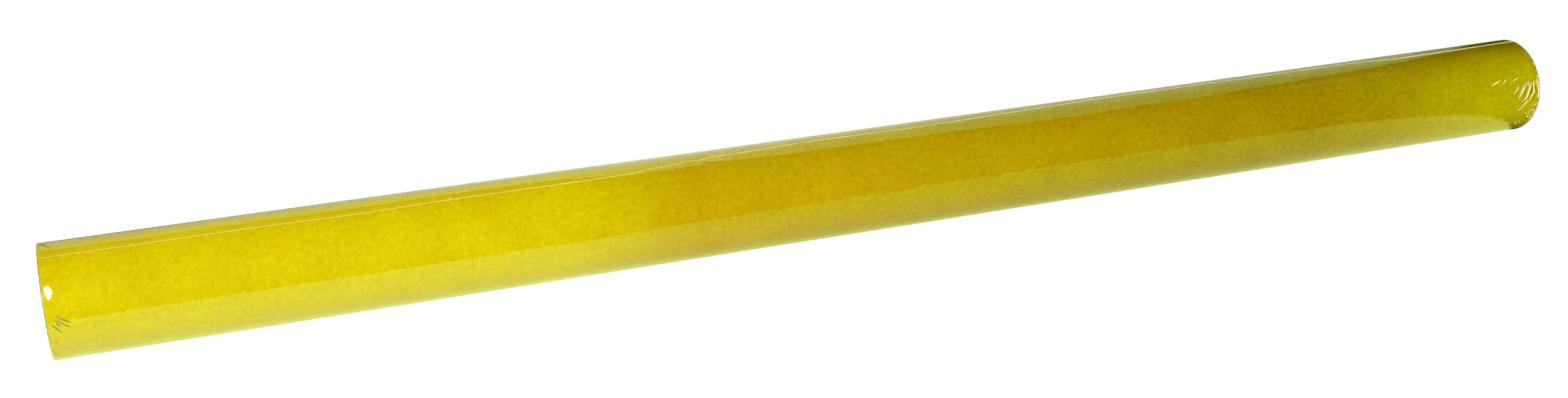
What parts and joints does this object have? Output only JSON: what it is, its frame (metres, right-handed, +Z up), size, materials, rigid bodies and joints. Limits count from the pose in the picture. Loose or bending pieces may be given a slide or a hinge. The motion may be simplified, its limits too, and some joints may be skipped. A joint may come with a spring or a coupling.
{
  "type": "roll of sign vinyl",
  "caption": "Long slim roll of self-adhesive sign vinyl wound on an open cardboard core, in a tight clear shrink wrap gathered over both ends with a welded seam along it.",
  "frame": {"origin": "centre of the core's bore, on its axis and midway along the roll", "axes": "+X along the roll's axis towards its right end, +Z up, -Y towards the viewer"},
  "size_m": [1.2216, 0.08, 0.0806],
  "materials": {
    "core_board": "matt spirally wound paperboard",
    "paper_tape": "matt creped masking tape",
    "release_liner": "smooth silicone-coated kraft paper",
    "yellow_vinyl": "saturated yellow film with a fine slanting emboss",
    "shrink_film": "clear glossy heat-shrunk film"
  },
  "bodies": {
    "root": {"core_bore_ply": "core_board", "core_ply_2": "core_board", "core_ply_3": "core_board", "core_ply_4": "core_board", "core_outer_ply": "core_board", "start_tab_left": "paper_tape", "start_tab_middle": "paper_tape", "start_tab_right": "paper_tape", "release_liner": "release_liner", "vinyl_film": "yellow_vinyl", "tail_tab_left": "paper_tape", "tail_tab_middle": "paper_tape", "tail_tab_right": "paper_tape", "shrink_sleeve": "shrink_film", "shrink_end_left": "shrink_film", "shrink_end_right": "shrink_film", "eye_bead_left": "shrink_film", "eye_bead_right": "shrink_film", "seam_bead": "shrink_film"}
  },
  "joints": []
}
